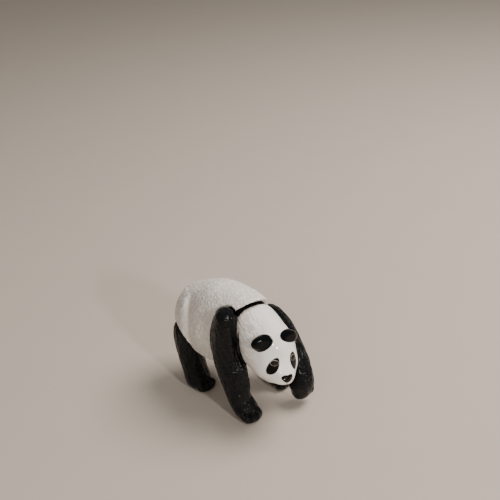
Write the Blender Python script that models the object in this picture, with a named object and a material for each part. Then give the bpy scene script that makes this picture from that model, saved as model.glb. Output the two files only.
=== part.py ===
"""Small moulded panda figurine, walking with its head low and one forepaw raised.

The white barrel, the black collar behind the neck, the head and the four legs are separate moulded
pieces. Each piece is a rounded form: balls and tapering limbs run together, worked out as a distance
from the surface. A coarse skin is wrapped round the balls and then drawn onto that surface.
+Z is up, the nose points to -Y and the animal's left side is +X. The feet stand on Z = 0.
"""

import bmesh
import bpy
import numpy as np
from mathutils import Matrix, Vector

# Driving dimensions, in metres
BACK_HEIGHT = 0.0375         # floor to the top of the back
PIECE_GAP = 0.0003           # air between two pieces that meet
RIM_CLEARANCE = 0.0007       # air between the barrel's front rim and the neck

# The pose and the proportions are counted in shares of the back's height
SHARES = 37.5
SHARE = BACK_HEIGHT / SHARES

# Facets: the size that a skin starts with, in shares, and how many triangles each piece keeps
SKIN_FACET = 0.7
BARREL_FACETS = 1800
COLLAR_FACETS = 400
HEAD_FACETS = 2050
FORELEG_FACETS = 1000
HIND_LEG_FACETS = 900
SEAT_FACETS = 560

# How softly the forms of a piece run together, in shares
BODY_BLEND = 3.5
HEAD_BLEND = 2.6
EAR_BLEND = 0.7
TOE_BLEND = 0.6

# Turn of the head on the neck, in degrees
HEAD_YAW = -9.0
HEAD_PITCH = 6.0
HEAD_ROLL = 13.0
EARS_PLACE = (-0.35, -18.8, 26.4)    # point midway between the ears, in shares
SHOULDER_ROLL = 12.0                 # lean of the shoulders to the animal's left

WHITE = (0.86, 0.83, 0.80, 1.0)
BLACK = (0.012, 0.012, 0.013, 1.0)


def material(name, colour, roughness):
    """One plain plastic."""
    made = bpy.data.materials.new(name)
    made.use_nodes = True
    shader = made.node_tree.nodes["Principled BSDF"]
    shader.inputs["Base Color"].default_value = colour
    shader.inputs["Roughness"].default_value = roughness
    made.diffuse_color = colour
    return made


# Forms: each has a place to start a skin from, and a distance from its surface

def turned(yaw=0.0, pitch=0.0, roll=0.0):
    """Rotation about Z, then X, then Y, in degrees."""
    yaw, pitch, roll = np.radians([yaw, pitch, roll])
    turn = Matrix.Rotation(yaw, 3, "Z") @ Matrix.Rotation(pitch, 3, "X") @ Matrix.Rotation(roll, 3, "Y")
    return np.array(turn)


class Ball:
    """An ellipsoid: centre, radii along its own axes, and its turn."""

    def __init__(self, centre, radii, turn=None):
        self.centre = np.array(centre, float)
        self.radii = np.array(radii, float) * np.ones(3)
        self.turn = np.eye(3) if turn is None else turn

    def distance(self, points):
        local = (points - self.centre) @ self.turn
        near = np.linalg.norm(local / self.radii, axis=1)
        slope = np.linalg.norm(local / self.radii ** 2, axis=1)
        return near * (near - 1.0) / np.maximum(slope, 1e-9)

    def start(self, shape):
        place = Matrix.Translation(self.centre) @ Matrix(self.turn).to_4x4() @ Matrix.Diagonal((*self.radii, 1.0))
        bmesh.ops.create_icosphere(shape, subdivisions=3, radius=1.0, matrix=place)

    def moved(self, turn, place):
        return Ball(turn @ self.centre + place, self.radii, turn @ self.turn)


class Limb:
    """A round limb along a smooth curve through stations of x, y, z and radius."""

    STEPS = 5      # short tapers between one station and the next

    def __init__(self, stations):
        given = np.array(stations, float)
        ends = np.vstack([2 * given[0] - given[1], given, 2 * given[-1] - given[-2]])
        t = np.linspace(0.0, 1.0, self.STEPS, endpoint=False)[:, None]
        runs = []
        for before, first, last, after in zip(ends, ends[1:], ends[2:], ends[3:]):
            bend = (last - before) * t + (2 * before - 5 * first + 4 * last - after) * t ** 2
            bend += (3 * first - before - 3 * last + after) * t ** 3
            runs.append(first + 0.5 * bend)
        self.line = np.vstack(runs + [given[-1:]])

    def distance(self, points):
        nearest = np.full(len(points), np.inf)
        for first, last in zip(self.line, self.line[1:]):
            along = last[:3] - first[:3]
            share = np.clip((points - first[:3]) @ along / (along @ along), 0.0, 1.0)
            middle = first[:3] + along * share[:, None]
            radius = first[3] + (last[3] - first[3]) * share
            nearest = np.minimum(nearest, np.linalg.norm(points - middle, axis=1) - radius)
        return nearest

    def start(self, shape):
        for x, y, z, radius in self.line:
            place = Matrix.Translation((x, y, z))
            bmesh.ops.create_icosphere(shape, subdivisions=3, radius=radius, matrix=place)


class Group:
    """Forms that run softly together over a blend length."""

    def __init__(self, forms, blend):
        self.forms = forms
        self.blend = blend

    def distance(self, points):
        total = self.forms[0].distance(points)
        for form in self.forms[1:]:
            other = form.distance(points)
            mix = np.clip(0.5 + 0.5 * (other - total) / self.blend, 0.0, 1.0)
            total = other + (total - other) * mix - self.blend * mix * (1.0 - mix)
        return total

    def start(self, shape):
        for form in self.forms:
            form.start(shape)

    def moved(self, turn, place):
        return Group([form.moved(turn, place) for form in self.forms], self.blend)


def slope_of(form, points, step=0.02):
    """Direction in which the distance grows, by small steps each way."""
    axes = np.eye(3) * step
    slope = np.stack([form.distance(points + a) - form.distance(points - a) for a in axes], axis=1)
    length = np.linalg.norm(slope, axis=1, keepdims=True)
    return slope / np.maximum(length, 1e-9), length / (2.0 * step)


def wrap(name, form, facets, out=0.0, rounds=5):
    """Wrap a skin of so many triangles round a form, drawn onto its surface moved out by a distance."""
    shape = bmesh.new()
    form.start(shape)
    bmesh.ops.scale(shape, vec=Vector((SHARE,) * 3), verts=shape.verts)
    mesh = bpy.data.meshes.new(name)
    shape.to_mesh(mesh)
    shape.free()
    skin = bpy.data.objects.new(name, mesh)
    bpy.context.scene.collection.objects.link(skin)
    remesh = skin.modifiers.new("Even facets", "REMESH")
    remesh.mode = "VOXEL"
    remesh.voxel_size = SKIN_FACET * SHARE
    apply_modifiers(skin)

    points, edges = points_and_edges(skin.data)
    count = np.bincount(edges.ravel(), minlength=len(points))[:, None]
    for _ in range(rounds):
        around = np.zeros_like(points)
        np.add.at(around, edges[:, 0], points[edges[:, 1]])
        np.add.at(around, edges[:, 1], points[edges[:, 0]])
        points = draw_onto(form, 0.5 * points + 0.5 * around / count, out)
    skin.data.vertices.foreach_set("co", (points * SHARE).ravel())

    fewer = skin.modifiers.new("Fewer facets", "DECIMATE")
    fewer.ratio = min(1.0, facets / (2.0 * len(skin.data.polygons)))
    apply_modifiers(skin)
    points, edges = points_and_edges(skin.data)
    skin.data.vertices.foreach_set("co", (draw_onto(form, points, out) * SHARE).ravel())
    skin.data.update()
    return skin


def points_and_edges(mesh):
    """A mesh's points in shares, and the ends of its edges."""
    points = np.empty(len(mesh.vertices) * 3)
    mesh.vertices.foreach_get("co", points)
    edges = np.empty(len(mesh.edges) * 2, int)
    mesh.edges.foreach_get("vertices", edges)
    return points.reshape(-1, 3) / SHARE, edges.reshape(-1, 2)


def draw_onto(form, points, out):
    """Move points along the distance's slope until they lie on the form's surface, moved out."""
    for _ in range(3):
        slope, steepness = slope_of(form, points)
        step = (form.distance(points) - out)[:, None] / np.maximum(steepness, 0.5)
        points = points - slope * np.clip(step, -SKIN_FACET, SKIN_FACET)
    return points


def apply_modifiers(item):
    """Give an object the mesh that its modifiers make."""
    seen = item.evaluated_get(bpy.context.evaluated_depsgraph_get())
    made = bpy.data.meshes.new_from_object(seen)
    item.modifiers.clear()
    item.data = made


def cut_sole(item, height=0.0):
    """Cut a foot off flat at the floor."""
    shape = bmesh.new()
    shape.from_mesh(item.data)
    everything = shape.verts[:] + shape.edges[:] + shape.faces[:]
    cut = bmesh.ops.bisect_plane(shape, geom=everything, dist=1e-7, plane_co=(0, 0, height),
                                 plane_no=(0, 0, 1), clear_inner=True)
    rim = [edge for edge in cut["geom_cut"] if isinstance(edge, bmesh.types.BMEdge)]
    if rim:
        bmesh.ops.triangle_fill(shape, edges=rim, normal=(0, 0, -1))
    bmesh.ops.recalc_face_normals(shape, faces=shape.faces)
    shape.to_mesh(item.data)
    shape.free()


def carve(item, cutters):
    """Take the cutters' forms out of a piece and keep its largest body."""
    for cutter in cutters:
        cutter.hide_render = True
        cutter.display_type = "WIRE"
        cut = item.modifiers.new("Seat of " + cutter.name, "BOOLEAN")
        cut.operation = "DIFFERENCE"
        cut.solver = "EXACT"
        cut.object = cutter
    apply_modifiers(item)
    for cutter in cutters:
        bpy.data.objects.remove(cutter)
    keep_largest_body(item)


def keep_largest_body(item):
    """Drop the loose crumbs that a cut leaves."""
    shape = bmesh.new()
    shape.from_mesh(item.data)
    unseen = set(shape.verts)
    bodies = []
    while unseen:
        body = {unseen.pop()}
        edge_of_body = set(body)
        while edge_of_body:
            edge_of_body = {e.other_vert(v) for v in edge_of_body for e in v.link_edges} & unseen
            unseen -= edge_of_body
            body |= edge_of_body
        bodies.append(body)
    largest = max(bodies, key=len)
    bmesh.ops.delete(shape, geom=[v for v in shape.verts if v not in largest], context="VERTS")
    shape.to_mesh(item.data)
    shape.free()


# The forms of each piece, in shares of the height: x to the animal's left, y to its rump, z up

def barrel_form():
    """Rump, belly and withers, with the stub of the tail; the shoulders lean to the animal's left."""
    body = Group([
        Ball((-0.2, 8.7, 22.3), (10.4, 11.8, 12.4)),
        Ball((-0.2, 0.6, 24.0), (10.4, 12.5, 14.3)),
        Ball((-0.9, -7.4, 25.9), (8.8, 12.2, 12.4), turned(roll=SHOULDER_ROLL)),
    ], BODY_BLEND)
    tail = Limb([(0.0, 16.0, 29.8, 1.9), (0.0, 18.1, 27.6, 2.1), (0.0, 19.2, 24.6, 1.7)])
    return Group([body, tail], TOE_BLEND)


def neck_opening():
    """The ball that opens the barrel's front to the neck, downwards and forwards."""
    return Ball((-4.0, -24.0, 18.0), 22.4)


def collar_form():
    """The black front of the body that the neck and the forelegs plug into."""
    return Ball((-0.9, -7.6, 24.8), (8.3, 8.0, 11.0), turned(roll=SHOULDER_ROLL))


def head_form():
    """Neck, skull, cheeks, muzzle, nose and ears, built round the point midway between the ears."""
    turn = turned(HEAD_YAW, HEAD_PITCH, HEAD_ROLL)
    place = np.array(EARS_PLACE)
    skull = Group([
        Ball((0.6, 1.2, -4.6), (7.7, 7.2, 7.2)),
        Ball((0.5, -3.0, -6.6), (6.9, 5.0, 4.7)),
        Ball((0.0, -6.6, -8.0), (3.5, 3.5, 2.9)),
    ], HEAD_BLEND).moved(turn, place)
    nose = Ball((-0.5, -9.3, -6.8), (1.6, 0.9, 1.1), turned(pitch=-30))
    neck = Limb([(0.3, -12.0, 27.4, 6.7), (0.0, -15.5, 24.8, 7.5)])
    ears = [Ball((-4.9, -1.1, 1.0), (3.9, 1.8, 2.3), turned(yaw=-5, roll=-4)),
            Ball((3.7, -2.1, 1.5), (3.7, 1.8, 2.3), turned(yaw=5, roll=12))]
    features = [form.moved(turn, place) for form in (nose, *ears)]
    return Group([Group([skull, neck], HEAD_BLEND), *features], EAR_BLEND)


def toes(ankle, reach, radius, heading):
    """Four toes in an arc at the front of a foot, about a heading in degrees from straight ahead."""
    made = []
    for step in (-1.5, -0.5, 0.5, 1.5):
        angle = np.radians(heading + step * 24.0)
        way = np.array([np.sin(angle), -np.cos(angle), 0.0])
        made.append(Ball(np.array(ankle) + way * reach, (radius,) * 3))
    return made


def right_foreleg_form():
    """The near foreleg, which carries the weight."""
    leg = Limb([(-7.8, -7.4, 32.8, 3.5), (-7.8, -6.6, 25.0, 4.3), (-8.0, -7.0, 18.0, 4.3),
                (-8.0, -9.6, 11.5, 4.2), (-8.25, -11.1, 6.0, 3.6), (-7.8, -12.9, 3.0, 3.8)])
    return Group([leg, *toes((-7.7, -13.4, 1.7), 3.1, 1.8, -10)], TOE_BLEND)


def left_foreleg_form():
    """The far foreleg, raised with the wrist bent and the paw hanging."""
    leg = Limb([(9.2, -7.6, 24.0, 5.2), (10.2, -12.0, 20.8, 4.4), (10.1, -16.0, 17.3, 3.5),
                (9.5, -19.2, 14.0, 3.4), (8.4, -21.4, 8.6, 3.7), (8.1, -21.8, 6.2, 3.3)])
    claws = [Ball((8.1 + across * 0.85, -22.0 - across * 0.45, 4.1 + across ** 2 * 0.1), (1.3, 1.3, 1.6))
             for across in (-2.4, -0.8, 0.8, 2.4)]
    return Group([leg, *claws], TOE_BLEND)


def right_hind_leg_form():
    """The near hind leg."""
    leg = Limb([(-6.2, 12.4, 19.0, 5.0), (-7.0, 11.8, 13.0, 4.4), (-7.0, 10.6, 7.0, 4.0), (-7.0, 9.5, 3.0, 4.2)])
    return Group([leg, *toes((-6.9, 8.0, 1.6), 3.0, 1.7, -5)], TOE_BLEND)


def left_hind_leg_form():
    """The far hind leg, stepped forward under the belly."""
    leg = Limb([(6.4, 8.4, 18.2, 6.0), (8.2, 0.4, 13.0, 4.9), (9.0, -5.6, 7.4, 3.8), (9.5, -9.2, 3.0, 3.5)])
    return Group([leg, *toes((9.6, -9.8, 1.5), 3.1, 1.6, 0)], TOE_BLEND)


def main():
    """Make every piece, seat the pieces in each other and stand the figurine on the origin."""
    for item in list(bpy.data.objects):
        bpy.data.objects.remove(item)
    white = material("white plastic", WHITE, 0.45)
    black = material("black plastic", BLACK, 0.3)

    gap = PIECE_GAP / SHARE
    rim = RIM_CLEARANCE / SHARE
    forms = {
        "barrel": (barrel_form(), BARREL_FACETS, white),
        "collar": (collar_form(), COLLAR_FACETS, black),
        "head": (head_form(), HEAD_FACETS, white),
        "right_foreleg": (right_foreleg_form(), FORELEG_FACETS, black),
        "left_foreleg": (left_foreleg_form(), FORELEG_FACETS, black),
        "right_hind_leg": (right_hind_leg_form(), HIND_LEG_FACETS, black),
        "left_hind_leg": (left_hind_leg_form(), HIND_LEG_FACETS, black),
    }
    pieces = {name: wrap(name, form, facets) for name, (form, facets, _) in forms.items()}
    for name in ("right_foreleg", "right_hind_leg", "left_hind_leg"):
        cut_sole(pieces[name])

    def around(name, out):
        return wrap("room for " + name, forms[name][0], SEAT_FACETS, out)

    legs = ["right_foreleg", "left_foreleg", "right_hind_leg", "left_hind_leg"]
    for name in ("right_foreleg", "left_foreleg"):
        carve(pieces[name], [around("head", gap)])
    carve(pieces["collar"], [around(name, gap) for name in ["head"] + legs])
    opening = wrap("neck opening", neck_opening(), SEAT_FACETS)
    carve(pieces["barrel"], [opening, around("head", rim)] + [around(name, gap) for name in ["collar"] + legs])

    for name, piece in pieces.items():
        piece.data.materials.clear()
        piece.data.materials.append(forms[name][2])
        piece.data.shade_smooth()
    return centre(list(pieces.values()))


def centre(pieces):
    """Put the middle of the figurine's footprint over the origin, and say what was made."""
    corners = np.array([vertex.co for piece in pieces for vertex in piece.data.vertices])
    low, high = corners.min(axis=0), corners.max(axis=0)
    shift = Vector((-(low[0] + high[0]) / 2, -(low[1] + high[1]) / 2, -low[2]))
    for piece in pieces:
        piece.data.transform(Matrix.Translation(shift))
        piece.data.calc_loop_triangles()
        soles = [face for face in piece.data.polygons if face.center.z < 1e-6 and face.normal.z < -0.99]
        middle = sum((face.center * face.area for face in soles), Vector()) / max(1e-12, sum(f.area for f in soles))
        print(piece.name, len(piece.data.loop_triangles), "triangles, sole at", middle[:] if soles else None)
    print("size", tuple(high - low), "moved by", shift[:])
    return shift


main()
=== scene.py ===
# %% [markdown]
# This is a small panda figurine, moulded in plastic: a warm white barrel of a body and a white head, and a
# black collar and four black legs pressed into it. The solids already have the right outline and pose.
# What they lack is what the eye reads as a moulded toy: fur furrows, painted patches, eyes, a nose,
# claws, and plastic that catches the light. This script adds those round the solids, in the same frame.

# %% The frame
import bmesh
import bpy
import numpy as np
from mathutils import Matrix, Vector


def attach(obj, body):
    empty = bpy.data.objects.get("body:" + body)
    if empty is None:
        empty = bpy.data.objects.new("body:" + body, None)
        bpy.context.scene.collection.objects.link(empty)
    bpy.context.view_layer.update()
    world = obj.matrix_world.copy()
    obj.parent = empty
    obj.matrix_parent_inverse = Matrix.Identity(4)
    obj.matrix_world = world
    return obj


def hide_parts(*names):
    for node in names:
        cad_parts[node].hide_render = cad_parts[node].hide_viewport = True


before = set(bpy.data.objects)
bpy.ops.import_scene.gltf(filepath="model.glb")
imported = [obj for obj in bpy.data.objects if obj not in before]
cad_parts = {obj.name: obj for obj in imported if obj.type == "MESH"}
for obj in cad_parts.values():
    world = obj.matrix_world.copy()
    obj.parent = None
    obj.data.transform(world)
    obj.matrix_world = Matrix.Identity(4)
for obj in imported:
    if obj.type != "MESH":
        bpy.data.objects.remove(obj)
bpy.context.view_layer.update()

# %% [markdown]
# All sizes below are in millimetres, because the figurine is 49 mm long, and one constant turns them into
# Blender's metres. The head leans and looks aside. Its ears, eyes, nose and mouth could be placed in the
# figurine's frame, but then no number would say left or right of the face. So they are placed along the
# head's own axes, and one matrix turns those into the frame.

# %% Sizes and the head's own axes
MM = 0.001
FOOTPRINT = np.array([-1.1625, 3.5354, 0.0])      # from the body's own middle to the middle of the footprint
HEAD_PLACE = np.array([-0.35, -18.8, 26.4]) + FOOTPRINT      # midway between the ears
HEAD_YAW, HEAD_PITCH, HEAD_ROLL = np.radians([-9.0, 6.0, 13.0])
HEAD_AXES = np.array(Matrix.Rotation(HEAD_YAW, 3, "Z") @ Matrix.Rotation(HEAD_PITCH, 3, "X")
                     @ Matrix.Rotation(HEAD_ROLL, 3, "Y"))


def unit(vectors):
    """Vectors divided by their own lengths."""
    return vectors / np.maximum(np.linalg.norm(vectors, axis=-1, keepdims=True), 1e-9)


def ease(values, low, high):
    """0 below low, 1 above high, and the smooth curve 3t^2 - 2t^3 between."""
    t = np.clip((values - low) / (high - low), 0.0, 1.0)
    return t * t * (3.0 - 2.0 * t)


def hump(values, middle, width):
    """A bell curve, 1 at its middle and almost 0 two widths away."""
    return np.exp(-((values - middle) / width) ** 2)


def in_head(points):
    """Points in the head's own axes: x to its left, y to the back, z up."""
    return (points - HEAD_PLACE) @ HEAD_AXES


def from_head(points):
    """Points in the head's own axes, back in the figurine's frame."""
    return points @ HEAD_AXES.T + HEAD_PLACE


print("head's axes turn", np.round(HEAD_AXES[:, 1], 3))

# %% [markdown]
# Every piece is read and changed as whole arrays, a row for each point, because a skin has tens of thousands
# of points and a Python loop over them would take minutes.

# %% A mesh as arrays


def mesh_points(mesh):
    """A mesh's points in millimetres, as an array of rows."""
    flat = np.empty(len(mesh.vertices) * 3)
    mesh.vertices.foreach_get("co", flat)
    return flat.reshape(-1, 3) / MM


def set_points(mesh, points):
    """Put rows of millimetres into a mesh."""
    mesh.vertices.foreach_set("co", (points * MM).ravel())
    mesh.update()


def mesh_normals(mesh):
    """The direction each point faces."""
    flat = np.empty(len(mesh.vertices) * 3)
    mesh.vertices.foreach_get("normal", flat)
    return flat.reshape(-1, 3)


def relaxed(mesh, points, rounds):
    """Each round moves every point half way to the mean of its neighbours."""
    ends = np.empty(len(mesh.edges) * 2, int)
    mesh.edges.foreach_get("vertices", ends)
    first, last = ends.reshape(-1, 2).T
    count = np.bincount(ends, minlength=len(points))
    for _ in range(rounds):
        mean = np.stack([np.bincount(first, points[last, axis], len(points))
                         + np.bincount(last, points[first, axis], len(points)) for axis in range(3)], axis=1)
        points = 0.5 * points + 0.5 * mean / count[:, None]
    return points


def keep(skin, name, values):
    """Keep one number for each point on the mesh, for the material to read."""
    attribute = skin.data.attributes.new(name, "FLOAT", "POINT")
    attribute.data.foreach_set("value", values.astype(np.float32))


print("nodes to dress:", ", ".join(sorted(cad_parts)))

# %% [markdown]
# Moulded fur is cut into the steel of the mould, so it follows the body under it. It could be a bump in the
# material, but then the outline would stay bare and the printed piece smooth, so it is cut into a real skin.
# A copy of each solid is rounded with a subdivision surface, given an even skin of tiny quads with a voxel
# remesh, and smoothed. Sharp edges are creased first, so the thin rim over the collar stays a rim.

# %% An even skin of small quads over each solid
SHARP_EDGE = np.radians(50)
SAME_PLACE = 2e-6         # metres within which two corners of the solid are one
SKINS = [   # the solid's node, the skin's name, the size of its quads, and how many rounds smooth it
    ("barrel", "barrel_fur", 0.22, 14),
    ("collar", "collar_shell", 0.3, 6),
    ("head", "head_fur", 0.17, 14),
    ("right_foreleg", "right_foreleg_fur", 0.18, 12),
    ("left_foreleg", "left_foreleg_fur", 0.18, 12),
    ("right_hind_leg", "right_hind_leg_fur", 0.18, 12),
    ("left_hind_leg", "left_hind_leg_fur", 0.18, 12),
]


def crease_sharp_edges(mesh):
    """Join a solid's loose triangles, and crease the edges that turn by more than SHARP_EDGE."""
    shape = bmesh.new()
    shape.from_mesh(mesh)
    bmesh.ops.remove_doubles(shape, verts=shape.verts, dist=SAME_PLACE)
    crease = shape.edges.layers.float.new("crease_edge")
    for edge in shape.edges:
        edge[crease] = float(len(edge.link_faces) != 2 or edge.calc_face_angle() > SHARP_EDGE)
    shape.to_mesh(mesh)
    shape.free()


def fine_skin(node, name, quad, rounds):
    """A closed skin of quads of one size over a solid, rounded between its facets."""
    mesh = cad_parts[node].data.copy()
    crease_sharp_edges(mesh)
    skin = bpy.data.objects.new(name, mesh)
    bpy.context.scene.collection.objects.link(skin)
    rounder = skin.modifiers.new("Rounder", "SUBSURF")
    rounder.levels = rounder.render_levels = 2
    even = skin.modifiers.new("Even quads", "REMESH")
    even.mode = "VOXEL"
    even.voxel_size = quad * MM
    seen = skin.evaluated_get(bpy.context.evaluated_depsgraph_get())
    skin_mesh = bpy.data.meshes.new_from_object(seen)
    skin.modifiers.clear()
    skin.data = skin_mesh
    set_points(skin_mesh, relaxed(skin_mesh, mesh_points(skin_mesh), rounds))
    skin_mesh.polygons.foreach_set("use_smooth", np.ones(len(skin_mesh.polygons), bool))
    print(name, len(skin_mesh.vertices), "points")
    return skin


skins = {node: fine_skin(node, name, quad, rounds) for node, name, quad, rounds in SKINS}

# %% [markdown]
# Fur reads as strands because heights change slowly along the hair and quickly across it. So random heights
# on a lattice are averaged along the lie of the fur. The lie itself is one direction for each point,
# pressed flat onto the surface: back and down on the body, down the legs, and away from the nose on the head.

# %% Random heights, and strands along a direction
STRAND_STEPS = 9


def lattice_noise(places, seed):
    """Each whole-numbered corner has a random height from -1 to 1, and places between them are eased.

    The corner's three numbers and the seed are each multiplied by a large odd number and mixed bit by bit.
    """
    base = np.floor(places).astype(np.int64)
    part = places - base
    part = part * part * (3.0 - 2.0 * part)
    total = np.zeros(len(places))
    for corner in np.ndindex(2, 2, 2):
        at = base + np.array(corner)
        mixed = at[:, 0] * 73856093 ^ at[:, 1] * 19349663 ^ at[:, 2] * 83492791 ^ seed * 2654435761
        mixed = (mixed ^ (mixed >> 13)) * 1274126177 & 0xFFFFFFFF
        mixed = (mixed ^ (mixed >> 16)) & 0xFFFF
        share = np.prod(np.where(corner, part, 1.0 - part), axis=1)
        total += share * (mixed / 32767.5 - 1.0)
    return total


def strands(points, lie, width, length, seed):
    """The mean of lattice heights at places along the lie, scaled to a spread of 1."""
    total = np.zeros(len(points))
    for step in np.linspace(-0.5, 0.5, STRAND_STEPS):
        total += lattice_noise((points + lie * (step * length)) / width, seed)
    return (total - total.mean()) / total.std()


def flat_on(normals, directions):
    """Directions pressed flat onto the surface."""
    directions = directions - normals * np.sum(normals * directions, axis=1, keepdims=True)
    return unit(directions)


def furrows(points, normals, lie, width, depth, seed, locks):
    """Broad locks with finer strands between, from 0 at the crest to -depth; locks is their share."""
    lie = flat_on(normals, lie)
    broad = np.tanh(strands(points, lie, 2.4 * width, 7.0 * width, seed))
    fine = np.tanh(1.4 * strands(points, lie, width, 3.6 * width, seed + 1))
    return depth * (locks * broad + (1.0 - locks) * fine - 1.0) * 0.5


def pebbles(points, size, depth, seed):
    """Small even bumps between 0 and -depth, from lattices of two sizes, the second moved off the first."""
    rough = lattice_noise(points / size, seed) + 0.7 * lattice_noise(points / (0.6 * size) + 17.3, seed + 1)
    return depth * (np.tanh(1.2 * rough) - 1.0) * 0.5


print("noise from", lattice_noise(np.random.default_rng(1).random((5, 3)) * 9, 3).round(2))

# %% [markdown]
# The barrel has more than fur. A fold runs down in front of the haunch, with a soft ridge behind it, and the
# stub of the tail lies on the rump between two short notches. They could be sculpted with a brush, but a
# height worked out from the distance to a line is the same on both sides and easy to move. The left shoulder
# is lower than the solids have it, and the same small drop moves the leg and its seat in the body together.

# %% Folds of the rump, and the fur of the body
FOLD = np.array([(13.8, 35.0), (13.7, 31.9), (12.3, 28.3), (12.0, 24.7), (12.2, 18.0)])      # y and z
VALLEY_DEPTH, VALLEY_AT = 0.7, -0.7       # how deep, and how far behind the fold's line: below 0 is in front
RIDGE_HEIGHT, RIDGE_AT = 0.42, 1.3        # how high, and how far behind the line
TAIL_NOTCH = np.array([(-4.75, 17.1, 32.7), (-3.73, 16.8, 33.6)])      # on the right of the tail
NOTCH_DEPTH, NOTCH_WIDTH = 0.7, 0.45
BODY_MIDDLE = -1.35       # x of the spine
SHOULDER = np.array([8.0, -4.1, 28.8])       # top of the left foreleg
SHOULDER_DROP, SHOULDER_SPREAD = 1.3, 4.6
BODY_LIE = np.array([0.0, 0.3, -1.0])
BODY_DEPTH, BODY_STRAND = 0.2, 0.45
PEBBLE_SIZE, PEBBLE_DEPTH = 0.48, 0.19


def signed_line(flat, line):
    """Distance to a line of points in a plane, positive on its left-hand side as it runs."""
    best = np.full(len(flat), 1e9)
    side = np.ones(len(flat))
    for start, end in zip(line, line[1:]):
        along = end - start
        share = np.clip((flat - start) @ along / (along @ along), 0.0, 1.0)
        away = flat - start - share[:, None] * along
        far = np.linalg.norm(away, axis=1)
        closer = far < best
        best = np.where(closer, far, best)
        side = np.where(closer, np.sign(along[0] * away[:, 1] - along[1] * away[:, 0]), side)
    return best * side


def lopsided(values, middle, below, above):
    """A bell curve with one width below its middle and another above."""
    return hump(np.minimum(values, middle), middle, below) * hump(np.maximum(values, middle), middle, above)


def away_from(points, start, end):
    """Distance to the straight piece between two places."""
    along = end - start
    share = np.clip((points - start) @ along / (along @ along), 0.0, 1.0)
    return np.linalg.norm(points - start - share[:, None] * along, axis=1)


def swell(points, middle, height, width):
    """A soft bump: the height times a bell curve of the distance to its middle."""
    return height * hump(np.linalg.norm(points - np.array(middle), axis=1), 0.0, width)


def sunk_shoulder(points):
    """How far down the left shoulder and its seat in the body slope off, below what the solids have."""
    return swell(points, SHOULDER, SHOULDER_DROP, SHOULDER_SPREAD) * ease(points[:, 2], 25.0, 28.5)


barrel = skins["barrel"]
p, n = mesh_points(barrel.data), mesh_normals(barrel.data)
p[:, 2] -= sunk_shoulder(p)
behind = signed_line(p[:, 1:], FOLD)
flank = ease(np.abs(p[:, 0] - BODY_MIDDLE), 4.0, 8.0) * ease(p[:, 2], 15.0, 20.0)
valley = lopsided(behind, VALLEY_AT, 3.6, 0.8)
ridge = lopsided(behind, RIDGE_AT, 1.2, 2.6)
fold = (RIDGE_HEIGHT * ridge - VALLEY_DEPTH * valley) * flank
mirrored = np.stack([BODY_MIDDLE - np.abs(p[:, 0] - BODY_MIDDLE), p[:, 1], p[:, 2]], axis=1)
fold -= NOTCH_DEPTH * hump(away_from(mirrored, *TAIL_NOTCH), 0.0, NOTCH_WIDTH)
fur = 0.5 * furrows(p, n, BODY_LIE, BODY_STRAND, BODY_DEPTH, seed=11, locks=0.3)
fur = fur + pebbles(p, PEBBLE_SIZE, PEBBLE_DEPTH, seed=13)
set_points(barrel.data, p + n * (fold + fur)[:, None])
# the relief kept for the material also paints the fold's valley and the tail's notches darker: painted shade
keep(barrel, "relief", fur / BODY_DEPTH + 1.05 + 0.4 * np.minimum(fold, 0.0))
print("fold deepest", round(float(-fold.min()), 2), "mm")

# %% [markdown]
# The legs are the black pieces that carry the look of fur most plainly, because gloss shows every furrow.
# The lie runs down the limb, and the furrows fade out just above the soles, which stay flat to stand on.
# Toes could be pieces of their own, but in a moulding they are swellings of the foot. So each is a direction
# round the ankle, with a knuckle along it and a groove between it and the next.

# %% Fur and toes of the legs, and the collar
LEG_DEPTH, LEG_STRAND = 0.3, 0.62
KNUCKLE_HEIGHT, KNUCKLE_LEVEL, TOE_GROOVE = 0.45, 2.9, 0.4
KNUCKLE_BREADTH, GROOVE_BREADTH = 8.0, 4.5       # degrees round the ankle
PAW_ACROSS, PAW_MIDDLE = np.array([0.70, -0.71, 0.0]), 16.7      # across the raised paw, and its middle there
PAW_DROP = 1.3            # how much lower the middle of the raised paw hangs than its solid
PAW_SIDE = ((3.6, -16.9, 7.3), 1.0, 2.2)         # middle, height and width of a swelling
CHEST_SIDE = ((-7.6, -8.0, 17.0), 1.0, 3.2)
FEET = {   # the ankle on the floor, and where the toes point, in degrees from straight ahead
    "right_foreleg": ((-7.7, -13.4), (-72, -46, -21, 4)),
    "right_hind_leg": ((-6.9, 8.0), (-41, -17, 7, 31)),
    "left_hind_leg": ((9.6, -9.8), (-36, -12, 12, 36)),
}
LIMBS = {   # a direction down each limb: what the fur of a leg follows
    "right_foreleg": (0.0, -0.25, -1.0),
    "left_foreleg": (0.0, -0.7, -1.0),
    "right_hind_leg": (0.0, -0.2, -1.0),
    "left_hind_leg": (0.0, -0.9, -1.0),
    "collar": (0.0, 0.2, -1.0),
}


def toe_relief(points, ankle, toes):
    """A knuckle on each toe and a groove between two, by the angle round the ankle and the way out."""
    flat = points[:, :2] - np.array(ankle) - FOOTPRINT[:2]
    angle = np.degrees(np.arctan2(flat[:, 0], -flat[:, 1]))
    out = ease(np.linalg.norm(flat, axis=1), 1.8, 3.0)
    out = out * ease(-points[:, 2], -4.6, -3.4) * ease(points[:, 2], 0.2, 0.9)
    knuckles = sum(hump(angle, toe, KNUCKLE_BREADTH) for toe in toes) * hump(points[:, 2], KNUCKLE_LEVEL, 1.0)
    grooves = sum(hump(angle, (one + other) / 2, GROOVE_BREADTH) for one, other in zip(toes, toes[1:]))
    return (KNUCKLE_HEIGHT * knuckles - TOE_GROOVE * grooves) * out, out


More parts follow.
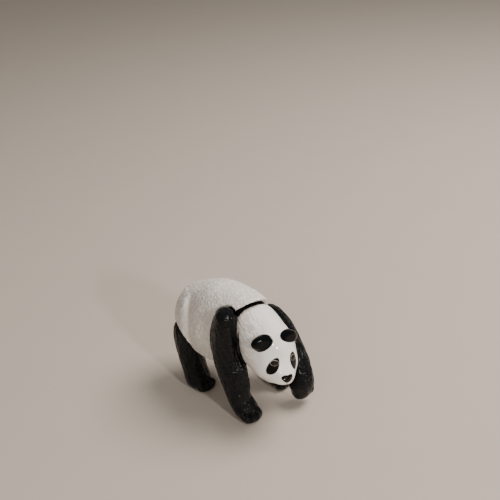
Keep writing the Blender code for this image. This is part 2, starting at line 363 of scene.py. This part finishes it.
for seed, (name, lie) in enumerate(LIMBS.items(), 20):
    skin = skins[name]
    p, n = mesh_points(skin.data), mesh_normals(skin.data)
    above_sole = ease(p[:, 2], 0.25, 1.2)
    fur = furrows(p, n, np.array(lie), LEG_STRAND, LEG_DEPTH, seed * 7, locks=0.3) * above_sole
    form = np.zeros(len(p))
    if name == "left_foreleg":       # the shoulder slopes off, and the hanging paw is full in the middle
        p[:, 2] -= sunk_shoulder(p)
        p[:, 2] -= PAW_DROP * hump(p @ PAW_ACROSS, PAW_MIDDLE, 3.2) * ease(-p[:, 2], -7.5, -4.0)
        form += swell(p, *PAW_SIDE)
    if name in FEET:
        toes, on_toes = toe_relief(p, *FEET[name])
        form += toes
        fur = fur * (1.0 - 0.8 * on_toes)
    if name == "right_foreleg":      # fuller on the inside, over the chest
        form += swell(p, *CHEST_SIDE)
    set_points(skin.data, p + n * (fur + form)[:, None])
    keep(skin, "relief", fur / LEG_DEPTH + 1.0)
    print(name, "furrows to", round(float(-fur.min()), 2), "mm")

# %% [markdown]
# The head is smooth and glossy in front, with fine fur on the cheeks and the nape. The black of the ears and
# round the eyes is paint on the white moulding. It could be a picture wrapped round the head, but its edge
# would blur. So each point keeps its distance to the edge of each painted shape, and the material turns
# that distance into a crisp line. An ear is a squashed ball, and the patch round an eye is an oval.

# %% Where the paint of the head lies
NOSE = np.array([-0.65, -9.8, -6.85])
EARS = {   # middle, radii, then turn about z and lean about y in degrees
    "right": ((-4.9, -1.1, 1.0), (3.9, 1.8, 2.3), -5, -4),
    "left": ((3.7, -2.1, 1.5), (3.7, 1.8, 2.3), 5, 12),
}
EAR_PAINT_SHIFTS = {   # the paint covers the ear's ball, and the ball moved by each of these
    "right": [(0.45, -0.3, -0.35)],
    "left": [(0.45, 0.2, 0.0), (-0.55, -0.3, 0.3)],
}
EAR_MARGIN = 0.1          # how far the paint reaches past those balls
EYE_PATCHES = [   # middle, then the direction of its length, half its length and half its width
    (np.array([-3.9, -6.2, -4.3]), np.array([0.75, 0.15, 0.92]), 2.6, 1.4),
    (np.array([3.0, -6.5, -3.6]), np.array([0.3, 0.15, 0.92]), 2.2, 1.6),
]
FAR_AWAY = 9.0            # a distance that no paint reaches


def ear_distance(places, middle, radii, turn, lean):
    """Distance outside the ear's ball, and places along the ear's own axes."""
    axes = np.array(Matrix.Rotation(np.radians(turn), 3, "Z") @ Matrix.Rotation(np.radians(lean), 3, "Y"))
    local = (places - np.array(middle)) @ axes
    radii = np.array(radii)
    near = np.linalg.norm(local / radii, axis=1)
    slope = np.linalg.norm(local / radii ** 2, axis=1)
    return near * (near - 1.0) / np.maximum(slope, 1e-9), local


def oval_distance(places, middle, long_way, half_length, half_width):
    """How far outside an oval on the face a place lies: the oval's own radius, less one, times its width."""
    outward = unit(middle * np.array([1.0, 1.0, 0.0]) + np.array([0.0, -2.0, 0.0]))
    long_way = unit(long_way - outward * (long_way @ outward))
    across = np.cross(long_way, outward)
    away = places - middle
    radius = np.hypot(away @ long_way / half_length, away @ across / half_width)
    return (radius - 1.0) * half_width + 4.0 * ease(-(away @ outward), 1.5, 3.0)


head = skins["head"]
p, n = mesh_points(head.data), mesh_normals(head.data)
q = in_head(p)
paint = np.full(len(q), FAR_AWAY)
for patch in EYE_PATCHES:
    paint = np.minimum(paint, oval_distance(q, *patch))
ears = np.full(len(q), FAR_AWAY)
for side, shape in EARS.items():
    for shift in [(0.0, 0.0, 0.0)] + EAR_PAINT_SHIFTS[side]:
        ears = np.minimum(ears, ear_distance(q - np.array(shift), *shape)[0] - EAR_MARGIN)
print("painted points", int((paint < 0).sum()), "ear points", int((ears < 0).sum()))

# %% [markdown]
# The mouth is a shallow groove: one line runs down from the nose, and the lips part from its foot in a low
# wave. The ears are hollowed, the chin is lifted, and a few soft swellings bring out the nape, the crown and
# the brow. All of them are heights added along the normal, so the head stays one closed skin.

# %% The head's relief
SWELLS = [   # middle, height and width
    ((-5.6, 7.5, 3.6), 1.2, 4.0),        # nape
    ((0.5, 6.5, 6.5), 0.6, 3.5),         # crown
    ((-7.2, 4.0, -2.0), 0.4, 4.0),       # right cheek
    ((-1.5, -4.3, 0.1), 0.34, 1.9),      # brow
    ((-1.9, -6.3, -2.7), -0.2, 1.7),     # bridge of the nose
    ((-2.9, -8.2, -5.4), 0.4, 1.2),      # muzzle
    (NOSE, -0.26, 1.8),                  # seat of the nose's pad
    ((5.5, 1.5, 1.5), -0.5, 3.0),        # behind the left ear
]
HEAD_DEPTH, HEAD_STRAND = 0.11, 0.36
EAR_HOLLOW, CHIN_LIFT = 0.35, 0.5
NECK_SEAT = np.array([-5.16, -20.46, 18.0])       # the rim of the body is 22.4 mm from here
MOUTH_MIDDLE = -0.55                  # x of the groove that runs down from the nose
MOUTH_LINE = (-9.15, 0.45, 1.3)       # z at the middle, how far its wave dips, and the mm in a radian of it
MOUTH_DEPTH, MOUTH_WIDTH = 0.16, 0.2

forward = -(n @ HEAD_AXES)[:, 1]
relief = np.zeros(len(q))
for shape in EARS.values():
    ear, local = ear_distance(q, *shape)
    bowl = np.exp(-((local[:, 0] + 0.8) / 1.7) ** 2 - ((local[:, 2] - 0.2) / 1.2) ** 2)
    relief -= EAR_HOLLOW * ease(forward, 0.2, 0.7) * bowl * (ear < 0.4)
across = q[:, 0] - MOUTH_MIDDLE
level, dip, breadth = MOUTH_LINE
lips = q[:, 2] - (level - dip * np.sin(np.minimum(np.abs(across) / breadth, 2.4)))
front = ease(forward, 0.0, 0.3)
reach = front * ease(-np.abs(across), -3.2, -2.6)
groove = front * ease(q[:, 2], level - 0.2, level + 0.1) * ease(-q[:, 2], 7.2, 7.6)
relief -= MOUTH_DEPTH * (hump(lips, 0.0, MOUTH_WIDTH) * reach + hump(across, 0.0, MOUTH_WIDTH) * groove)
clear_of_rim = ease(-np.linalg.norm(p - NECK_SEAT, axis=1), -21.8, -20.6)
for bump in SWELLS:
    relief += swell(q, *bump) * clear_of_rim
relief -= CHIN_LIFT * ease(-q[:, 2], 8.9, 10.2) * ease(-q[:, 1], 5.0, 7.0)
from_nose = np.linalg.norm(q - NOSE, axis=1)
furry = ease(from_nose, 7.5, 13.0) * (0.35 + 0.65 * ease(np.abs(q[:, 0]), 2.0, 6.0))
fur = furrows(p, n, p - from_head(NOSE), HEAD_STRAND, HEAD_DEPTH, seed=51, locks=0.1)
fur = fur * np.where(ears < 0.3, 0.25, furry)
set_points(head.data, p + n * (fur + relief)[:, None])
for name, values in {"relief": fur / HEAD_DEPTH + 1.0, "furry": furry, "ears": ears, "paint": paint,
                     "lips": lips, "lip_reach": reach, "across": across, "groove_reach": groove}.items():
    keep(head, name, values)
print("head's relief from", round(float(relief.min()), 2), "to", round(float(relief.max()), 2), "mm")

# %% [markdown]
# A material is a chain of small sums: a height, times a number, plus a colour. Writing nodes one by one
# hides that, so a small class wraps a socket and lets + - * / make the Math nodes. Every other node comes
# from one method, which sets the node's own settings first and then fills its sockets.

# %% A socket that can be added and multiplied


class Wire:
    """A value on its way through a material's nodes."""

    def __init__(self, tree, socket):
        self.tree = tree
        self.socket = socket

    def node(self, kind, inputs, output=0, **settings):
        """Add a node with these settings, plug in its inputs and give back one output."""
        made = self.tree.nodes.new(kind)
        for name, value in settings.items():
            setattr(made, name, value)
        for name, value in inputs.items():
            if isinstance(value, Wire):
                self.tree.links.new(value.socket, made.inputs[name])
            else:
                made.inputs[name].default_value = value
        return Wire(self.tree, made.outputs[output])

    def math(self, operation, *others):
        """This value first, then the others, in a Math node."""
        return self.node("ShaderNodeMath", dict(enumerate((self, *others))), operation=operation)

    def reflected(self, operation, other):
        """The number on the left of the sign first, then this value."""
        return self.node("ShaderNodeMath", {0: other, 1: self}, operation=operation)

    def __add__(self, other):
        return self.math("ADD", other)

    __radd__ = __add__

    def __mul__(self, other):
        return self.math("MULTIPLY", other)

    __rmul__ = __mul__

    def __sub__(self, other):
        return self.math("SUBTRACT", other)

    def __rsub__(self, other):
        return self.reflected("SUBTRACT", other)

    def __truediv__(self, other):
        return self.math("DIVIDE", other)

    def __rtruediv__(self, other):
        return self.reflected("DIVIDE", other)

    def eased(self, low, high, start=0.0, end=1.0):
        """A smooth step from start at low to end at high."""
        limits = {"Value": self, "From Min": low, "From Max": high, "To Min": start, "To Max": end}
        return self.node("ShaderNodeMapRange", limits, interpolation_type="SMOOTHSTEP")

    def between(self, first, second):
        """A colour mixed from first, where this is 0, to second, where it is 1."""
        factor, colour_a, colour_b, colour_result = 0, 6, 7, 2       # the Mix node's sockets for colours
        inputs = {factor: self, colour_a: first, colour_b: second}
        return self.node("ShaderNodeMix", inputs, colour_result, data_type="RGBA")


class Finish:
    """A Principled material, its object coordinates in millimetres, and a way to fill its sockets."""

    def __init__(self, name, constants):
        self.made = bpy.data.materials.new(name)
        self.made.use_nodes = True
        self.tree = self.made.node_tree
        self.shader = self.tree.nodes["Principled BSDF"]
        for socket, value in constants.items():
            self.shader.inputs[socket].default_value = value
        coordinates = Wire(self.tree, None).node("ShaderNodeTexCoord", {}, "Object")
        first, scale = 0, 3       # the Vector Math node's sockets for scaling
        inputs = {first: coordinates, scale: 1.0 / MM}
        self.place = coordinates.node("ShaderNodeVectorMath", inputs, operation="SCALE")

    def attribute(self, name):
        """The number that each point of the mesh keeps under this name."""
        return self.place.node("ShaderNodeAttribute", {}, "Fac", attribute_name=name)

    def noise(self, scale, detail=2.0):
        """Random values from 0 to 1; scale counts lumps in a millimetre."""
        inputs = {"Vector": self.place, "Scale": scale, "Detail": detail}
        return self.place.node("ShaderNodeTexNoise", inputs)

    def plug(self, name, value):
        """Lead a value to one of the plastic's sockets."""
        self.tree.links.new(value.socket, self.shader.inputs[name])

    def bump(self, height, distance):
        """Tilt the surface by a height from 0 to 1, which stands for so many millimetres."""
        inputs = {"Height": height, "Strength": 1.0, "Distance": distance * MM}
        self.plug("Normal", self.place.node("ShaderNodeBump", inputs))

    def paint_over(self, mask, colour, constants):
        """A second plastic, mixed over the first where the mask is 1."""
        paint = self.place.node("ShaderNodeBsdfPrincipled", {"Base Color": colour, **constants}, "BSDF")
        plastic = Wire(self.tree, self.shader.outputs["BSDF"])
        both = self.place.node("ShaderNodeMixShader", {0: mask, 1: plastic, 2: paint}, "Shader")
        self.tree.links.new(both.socket, self.tree.nodes["Material Output"].inputs["Surface"])


print("wires ready")

# %% [markdown]
# The white is a warm, satin plastic. Its furrows are painted a touch darker, as painted shade where the light
# doesn't reach, and are duller too, and a fine grain keeps the highlights from being mirror-sharp.
# The body is duller than the head, so there are two finishes from one function. The paint is a second
# plastic mixed over the head's, because black paint over white also shines in its own way, and mixing the
# two colours alone would leave it the white's gloss.

# %% White plastic, and the black and brown paint on the head
WHITE_CREST = (0.83, 0.79, 0.75, 1.0)
WHITE_SHADE_AND_STAIN = (0.66, 0.60, 0.54, 1.0)
BLACK = (0.0014, 0.0019, 0.0024, 1.0)
BROWN_PAINT = (0.0055, 0.0035, 0.0028, 1.0)
PAINT_EDGE = 0.09         # mm over which paint gives way to plastic
PAINT_GLOSS = {"Roughness": 0.14, "Specular IOR Level": 0.15}


def white_plastic(name, roughness, grain_depth):
    """White from painted shade in the furrows to the crests, with faint stains, and the finish to add paint
    to.
    """
    finish = Finish(name, {"Specular IOR Level": 0.5})
    relief = finish.attribute("relief")
    # painted shade: the white darkens from the crests down into the furrows
    colour = relief.eased(0.1, 0.8).between(WHITE_SHADE_AND_STAIN, WHITE_CREST)
    stain = finish.noise(0.22).eased(0.35, 0.7, 0.0, 0.25)
    finish.plug("Base Color", stain.between(colour, WHITE_SHADE_AND_STAIN))
    rough = finish.noise(1.2) * 0.12 + (roughness - 0.06) + relief.eased(0.0, 0.8, 0.1, 0.0)
    finish.bump(finish.noise(5.0, 3.0) * 0.5 + finish.noise(2.0) * 0.5, grain_depth)
    return finish, rough


def line_mask(finish, distance, half_width, strength):
    """Strength along a line, by the distance to it, and 0 from half a width away."""
    return finish.attribute(distance).math("ABSOLUTE").eased(0.02, half_width, strength, 0.0)


barrel_finish, rough = white_plastic("White plastic of the body", 0.42, 0.06)
barrel_finish.plug("Roughness", rough)
head_finish, rough = white_plastic("White plastic of the head", 0.12, 0.008)
head_finish.plug("Roughness", rough + head_finish.attribute("furry") * 0.16)
patch = head_finish.attribute("paint").eased(-PAINT_EDGE, PAINT_EDGE, 1.0, 0.0)
ear = head_finish.attribute("ears").eased(-PAINT_EDGE, PAINT_EDGE, 1.0, 0.0)
lip = line_mask(head_finish, "lips", 0.17, 0.75) * head_finish.attribute("lip_reach")
below_nose = line_mask(head_finish, "across", 0.15, 0.9) * head_finish.attribute("groove_reach")
painted = patch.math("MAXIMUM", ear).math("MAXIMUM", lip.math("MAXIMUM", below_nose))
head_finish.paint_over(painted, ear.between(BROWN_PAINT, BLACK), PAINT_GLOSS)
print("white finishes for the barrel and the head")

# %% [markdown]
# The black is the same kind of plastic with a high gloss. What the eye reads is not its colour but where it
# mirrors the light, so most of its look is a soft, lumpy bump that breaks one highlight into sparkles. Its
# furrows are painted a touch darker than its crests, as painted shade.

# %% Black plastic, and a finish for each skin
BLACK_CREST = (0.004, 0.0045, 0.005, 1.0)
black_finish = Finish("Black plastic", {"Specular IOR Level": 0.2})
relief = black_finish.attribute("relief")
# painted shade: the black is darker in the furrows than on the crests
black_finish.plug("Base Color", relief.eased(0.2, 0.95).between(BLACK, BLACK_CREST))
black_finish.plug("Roughness", black_finish.noise(1.5) * 0.10 + 0.08 + relief.eased(0.0, 0.9, 0.1, 0.0))
black_finish.bump(black_finish.noise(4.0, 1.0) * 0.2 + black_finish.noise(1.6, 1.0) * 0.8, 0.28)
white_finishes = {"barrel": barrel_finish, "head": head_finish}
for name, skin in skins.items():
    skin.data.materials.clear()
    skin.data.materials.append(white_finishes.get(name, black_finish).made)
    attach(skin, "root")
    "white_plastic" if name in white_finishes else "black_plastic"
    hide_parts(name)
print("finishes on", len(skins), "skins")

# %% [markdown]
# The small pieces that follow are all surfaces on a grid of two parameters. A dome or a claw closes at two
# poles, and a lid closes round on itself both ways. The mesh's faces come from the grid's own order, so only
# the points have to be worked out.

# %% A piece from a grid of points


def piece(name, points, faces, material):
    """A smooth object from millimetres, facing outwards, riding on the figurine."""
    mesh = bpy.data.meshes.new(name)
    mesh.from_pydata(points * MM, [], faces)
    shape = bmesh.new()
    shape.from_mesh(mesh)
    bmesh.ops.recalc_face_normals(shape, faces=shape.faces)
    shape.to_mesh(mesh)
    shape.free()
    mesh.polygons.foreach_set("use_smooth", np.ones(len(mesh.polygons), bool))
    mesh.materials.append(material)
    made = bpy.data.objects.new(name, mesh)
    bpy.context.scene.collection.objects.link(made)
    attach(made, "root")
    print(name, len(mesh.polygons), "faces")
    return made


def closed_grid(name, grid, material):
    """A mesh from rows of points that close round on themselves; the first and last row are poles."""
    rows, columns = grid.shape[:2]
    points = np.vstack([grid[0, :1], grid[1:-1].reshape(-1, 3), grid[-1, :1]])
    at = 1 + np.arange((rows - 2) * columns).reshape(rows - 2, columns)
    beside = np.roll(at, -1, axis=1)
    quads = np.stack([at[:-1], beside[:-1], beside[1:], at[1:]], axis=-1).reshape(-1, 4)
    first = np.stack([np.zeros(columns, int), beside[0], at[0]], axis=-1)
    last = np.stack([np.full(columns, len(points) - 1), at[-1], beside[-1]], axis=-1)
    return piece(name, points, [*quads.tolist(), *first.tolist(), *last.tolist()], material)


def ring_grid(name, grid, material):
    """A mesh from a grid of points that closes round on itself both ways."""
    at = np.arange(grid[..., 0].size).reshape(grid.shape[:2])
    beside = np.roll(at, -1, axis=1)
    quads = np.stack([at, beside, np.roll(beside, -1, axis=0), np.roll(at, -1, axis=0)], axis=-1)
    return piece(name, grid.reshape(-1, 3), quads.reshape(-1, 4).tolist(), material)


def turns(count):
    """So many angles evenly round a circle, in radians."""
    return np.linspace(0, 2 * np.pi, count, endpoint=False)


print("a circle in steps of", round(float(np.degrees(turns(24)[1])), 1), "degrees")

# %% [markdown]
# The eyes are small glossy domes with a raised lid round each, set in the dark patches. A dome is a grid of
# latitudes and longitudes squashed along the way it faces, and a lid is a thin tube round an oval. Both sit
# on the head's own skin: each looks for the nearest points of it and faces the way those points do.

# %% Eyes and lids
EYES = [("right", (-3.41, -5.94, -3.30)), ("left", (3.0, -6.35, -2.85))]
EYE_SIZE = (0.72, 0.52, 0.40, 0.08)       # half its width, half its height, its rise, and how deep it sits
LID_SIZE = (1.18, 0.78, 0.085)            # half its width, half its height, and the tube's radius
EYE_COLOURS = ((0.004, 0.003, 0.003, 1.0), (0.010, 0.006, 0.005, 1.0))
LID_COLOURS = ((0.14, 0.12, 0.10, 1.0), (0.26, 0.23, 0.20, 1.0))


def seat_on_head(near):
    """The head's nearest skin point to a place, with directions out, up and across there."""
    points = mesh_points(head.data)
    away = np.linalg.norm(points - near, axis=1)
    closest = np.argsort(away)[:40]
    out = unit(mesh_normals(head.data)[closest].mean(axis=0))
    up = unit(HEAD_AXES[:, 2] - out * (HEAD_AXES[:, 2] @ out))
    return points[closest[:6]].mean(axis=0), out, up, np.cross(up, out)


def dome(seat, half_width, half_height, rise, sunk):
    """An ellipsoid on a seat: cos and sin of latitude and longitude along its three directions."""
    place, out, up, across = seat
    latitude = np.linspace(-np.pi / 2, np.pi / 2, 21)[:, None, None]
    longitude = turns(40)[None, :, None]
    flat = across * half_width * np.cos(longitude) + up * half_height * np.sin(longitude)
    return place - out * sunk + flat * np.cos(latitude) + out * rise * np.sin(latitude)


def lid(seat, half_width, half_height, thick):
    """A tube round an oval: the oval's point, plus the tube's radius outwards and away from the middle."""
    place, out, up, across = seat
    angle = turns(56)[:, None, None]
    round_tube = turns(12)[None, :, None]
    oval = across * half_width * np.cos(angle) + up * half_height * np.sin(angle)
    tube = unit(oval) * np.cos(round_tube) + out * np.sin(round_tube)
    return place + oval + tube * thick * (1.0 + 0.35 * np.sin(angle))


eye_finish = Finish("Glossy eye", {"Roughness": 0.06, "Specular IOR Level": 0.6})
eye_finish.plug("Base Color", eye_finish.noise(3.0).between(*EYE_COLOURS))
lid_finish = Finish("Brown lid", {"Roughness": 0.28})
lid_finish.plug("Base Color", lid_finish.noise(4.0).between(*LID_COLOURS))
for side, place in EYES:
    seat = seat_on_head(from_head(np.array(place)))
    closed_grid(side + "_eye", dome(seat, *EYE_SIZE), eye_finish.made)
    ring_grid(side + "_lid", lid(seat, *LID_SIZE), lid_finish.made)

# %% [markdown]
# The nose is a pad with a wide top and a narrow foot, like a heart with a shallow dip, and two nostrils
# pressed into it. It is worked out on a disc: radius and angle give a place across and up the muzzle, the
# muzzle's own skin gives the depth there, and the pad rises from that, less a bell-shaped dent a nostril.

# %% The nose
NOSE_TILT = np.radians(20)
NOSE_HALF_WIDTH, NOSE_HALF_HEIGHT, NOSE_RISE, NOSE_SUNK = 2.2, 1.35, 0.34, 0.06
NOSTRIL_OUT = 0.52        # a nostril's place, as a share of the half width
NOSE_ACROSS = HEAD_AXES @ np.array([1.0, 0.0, 0.0])
NOSE_UP = HEAD_AXES @ np.array([0.0, np.sin(NOSE_TILT), np.cos(NOSE_TILT)])
NOSE_OUT = HEAD_AXES @ np.array([0.0, -np.cos(NOSE_TILT), np.sin(NOSE_TILT)])
NOSE_COLOURS = ((0.002, 0.0011, 0.0011, 1.0), (0.008, 0.0026, 0.0024, 1.0))


def skin_depth(across, up, middle):
    """How far out the head's skin stands at places across and up: near points, weighted by closeness."""
    points = mesh_points(head.data) - middle
    near = (np.linalg.norm(points, axis=1) < 4.0) & (points @ NOSE_OUT > -2.5)
    points = points[near]
    flat = np.stack([points @ NOSE_ACROSS, points @ NOSE_UP], axis=1)
    away = ((np.stack([across, up], axis=-1)[..., None, :] - flat) ** 2).sum(axis=-1)
    weight = np.exp(-away / 0.05) + 1e-12
    return (weight * (points @ NOSE_OUT)).sum(axis=-1) / weight.sum(axis=-1)


def nose_pad(middle, half_width, half_height, rise):
    """Across: radius x cosine, wider where the sine is high. Up: radius x sine, less a dip in the top."""
    radius = np.linspace(0.0, 1.0, 24)[:, None]
    angle = turns(72)[None, :]
    across = half_width * radius * np.cos(angle) * (0.80 + 0.34 * np.sin(angle))
    up = half_height * radius * np.sin(angle)
    up = up - 0.22 * half_height * radius * hump(across, 0.0, 0.35 * half_width) * (np.sin(angle) > 0)
    height = rise * (1.0 - radius ** 3.0) ** 0.5
    for side in (-1, 1):
        dent = hump(across, side * NOSTRIL_OUT * half_width, 0.30) * hump(up, 0.02, 0.24)
        height = height - 0.75 * rise * dent
    height = height - 0.3 * rise * hump(across, 0.0, 0.14) * (up < 0.1)
    out = skin_depth(across, up, middle) + height - NOSE_SUNK
    front = middle + across[..., None] * NOSE_ACROSS + up[..., None] * NOSE_UP + out[..., None] * NOSE_OUT
    back = middle + NOSE_OUT * (out.min() - 0.8)
    return np.concatenate([front, np.broadcast_to(back, (1, front.shape[1], 3))])


nose_finish = Finish("Dark nose", {"Roughness": 0.2, "Specular IOR Level": 0.16})
nose_finish.plug("Base Color", nose_finish.noise(2.5).between(*NOSE_COLOURS))
nose = nose_pad(from_head(NOSE), NOSE_HALF_WIDTH, NOSE_HALF_HEIGHT, NOSE_RISE)
closed_grid("nose", nose, nose_finish.made)

# %% [markdown]
# The raised paw shows a row of blunt claws under its toes. Each is a cone bent a little: its middle runs down
# and forwards along a parabola, and its radius shrinks to nothing along a quarter of an ellipse. It starts
# inside the paw, above the lowest point of the skin there, so only its tip shows.

# %% The claws of the raised paw
CLAW_LENGTH, CLAW_RADIUS, CLAW_SHOWS = 2.2, 0.6, 0.25
CLAWS_ACROSS = (14.6, 15.8, 17.0, 18.2)       # places across the paw
CLAW_AHEAD, CLAW_BEND = np.array([0.1, -1.0, 0.0]), 0.3


def claw(base, ahead):
    """Rows of circles round a bent line: down by the share of the length, ahead by its square."""
    share = np.linspace(0.0, 1.0, 18)[:, None, None]
    angle = turns(24)[None, :, None]
    middle = base + np.array([0.0, 0.0, -CLAW_LENGTH]) * share + ahead * CLAW_BEND * share ** 2
    beside = unit(np.cross(ahead, np.array([0.0, 0.0, 1.0])))
    round_it = beside * np.cos(angle) + unit(ahead) * np.sin(angle)
    radius = CLAW_RADIUS * np.sqrt(np.clip(1.0 - share ** 2, 0.0, 1.0)) * np.minimum(1.0, 12.0 * share)
    return middle + round_it * radius


claw_finish = Finish("Black claws", {"Roughness": 0.16, "Specular IOR Level": 0.25})
claw_finish.plug("Base Color", claw_finish.noise(1.5).between(BLACK, BLACK_CREST))
paw = mesh_points(skins["left_foreleg"].data)
for number, across in enumerate(CLAWS_ACROSS, 1):
    strip = paw[np.abs(paw @ PAW_ACROSS - across) < 0.3]
    lowest = strip[np.argsort(strip[:, 2])[:20]].mean(axis=0)
    base = lowest + np.array([0.0, 0.0, CLAW_LENGTH - CLAW_SHOWS])
    closed_grid("claw_%d" % number, claw(base, CLAW_AHEAD), claw_finish.made)

# %% [markdown]
# The camera looks down on the figurine's right front, at the angle of the photograph. Its place and its
# three directions are written out, so that it stays where it is if the figurine changes.

# %% The camera
CAMERA_PLACE = (-0.1274497, -0.1417414, 0.1536924)       # metres
CAMERA_RIGHT = (0.70003, -0.71107, -0.06579)
CAMERA_UP = (0.38306, 0.29617, 0.87497)
CAMERA_BACK = (-0.60267, -0.63770, 0.47971)
LENS, SENSOR = 54.72, 36.0
camera_data = bpy.data.cameras.new("Camera")
camera_data.lens, camera_data.sensor_width = LENS, SENSOR
camera_data.clip_start, camera_data.clip_end = 0.01, 10.0
camera = bpy.data.objects.new("Camera", camera_data)
bpy.context.scene.collection.objects.link(camera)
bpy.context.scene.camera = camera
turn = Matrix((CAMERA_RIGHT, CAMERA_UP, CAMERA_BACK)).transposed()
camera.matrix_world = Matrix.Translation(CAMERA_PLACE) @ turn.to_4x4()
print("camera at", [round(v, 4) for v in camera.location])

# %% [markdown]
# Gloss shows the lights themselves, so there are two kinds. A broad panel above and to the right and a weak
# one on the left give soft light and shade, and are hidden from reflections, because a broad white mirror
# image would wash out the black. A small panel in front makes the sharp highlights. The floor is plain and
# pale, with an even world light over it.

# %% Light and floor
WORLD_COLOUR, WORLD_STRENGTH = (0.80, 0.76, 0.72, 1.0), 0.36
FLOOR_COLOURS = ((0.485, 0.42, 0.36, 1.0), (0.505, 0.44, 0.375, 1.0))
FLOOR_REACH = 3           # metres from the middle to each edge
LIT_PLACE = Vector((0, 0, 0.02))       # what the lights face, in metres


def panel(name, place, width, watts, colour):
    """A square light that faces the figurine, its place and width in metres."""
    data = bpy.data.lights.new(name, "AREA")
    data.size, data.energy, data.color = width, watts, colour
    made = bpy.data.objects.new(name, data)
    bpy.context.scene.collection.objects.link(made)
    made.location = place
    made.rotation_euler = (LIT_PLACE - Vector(place)).to_track_quat("-Z", "Y").to_euler()
    return made


ceiling = panel("Ceiling", (0.26, -0.12, 0.45), 0.28, 3.55, (1.0, 0.95, 0.90))
left_side = panel("Side", (-0.45, -0.20, 0.25), 0.3, 0.5, (1.0, 0.96, 0.92))
ceiling.visible_glossy = left_side.visible_glossy = False
panel("Highlight", (-0.089, -0.447, 0.228), 0.035, 1.15, (1.0, 0.98, 0.95))
world = bpy.data.worlds.new("Room")
world.use_nodes = True
world.node_tree.nodes["Background"].inputs["Color"].default_value = WORLD_COLOUR
world.node_tree.nodes["Background"].inputs["Strength"].default_value = WORLD_STRENGTH
bpy.context.scene.world = world

floor_mesh = bpy.data.meshes.new("Floor")
floor_corners = [(x * FLOOR_REACH, y * FLOOR_REACH, 0) for x, y in ((-1, -1), (1, -1), (1, 1), (-1, 1))]
floor_mesh.from_pydata(floor_corners, [], [(0, 1, 2, 3)])
floor = bpy.data.objects.new("Floor", floor_mesh)
bpy.context.scene.collection.objects.link(floor)
floor_finish = Finish("Pale floor", {"Roughness": 0.7})
floor_finish.plug("Base Color", floor_finish.noise(0.05).between(*FLOOR_COLOURS))
floor_mesh.materials.append(floor_finish.made)
print("lights:", ", ".join(light.name for light in bpy.data.lights))
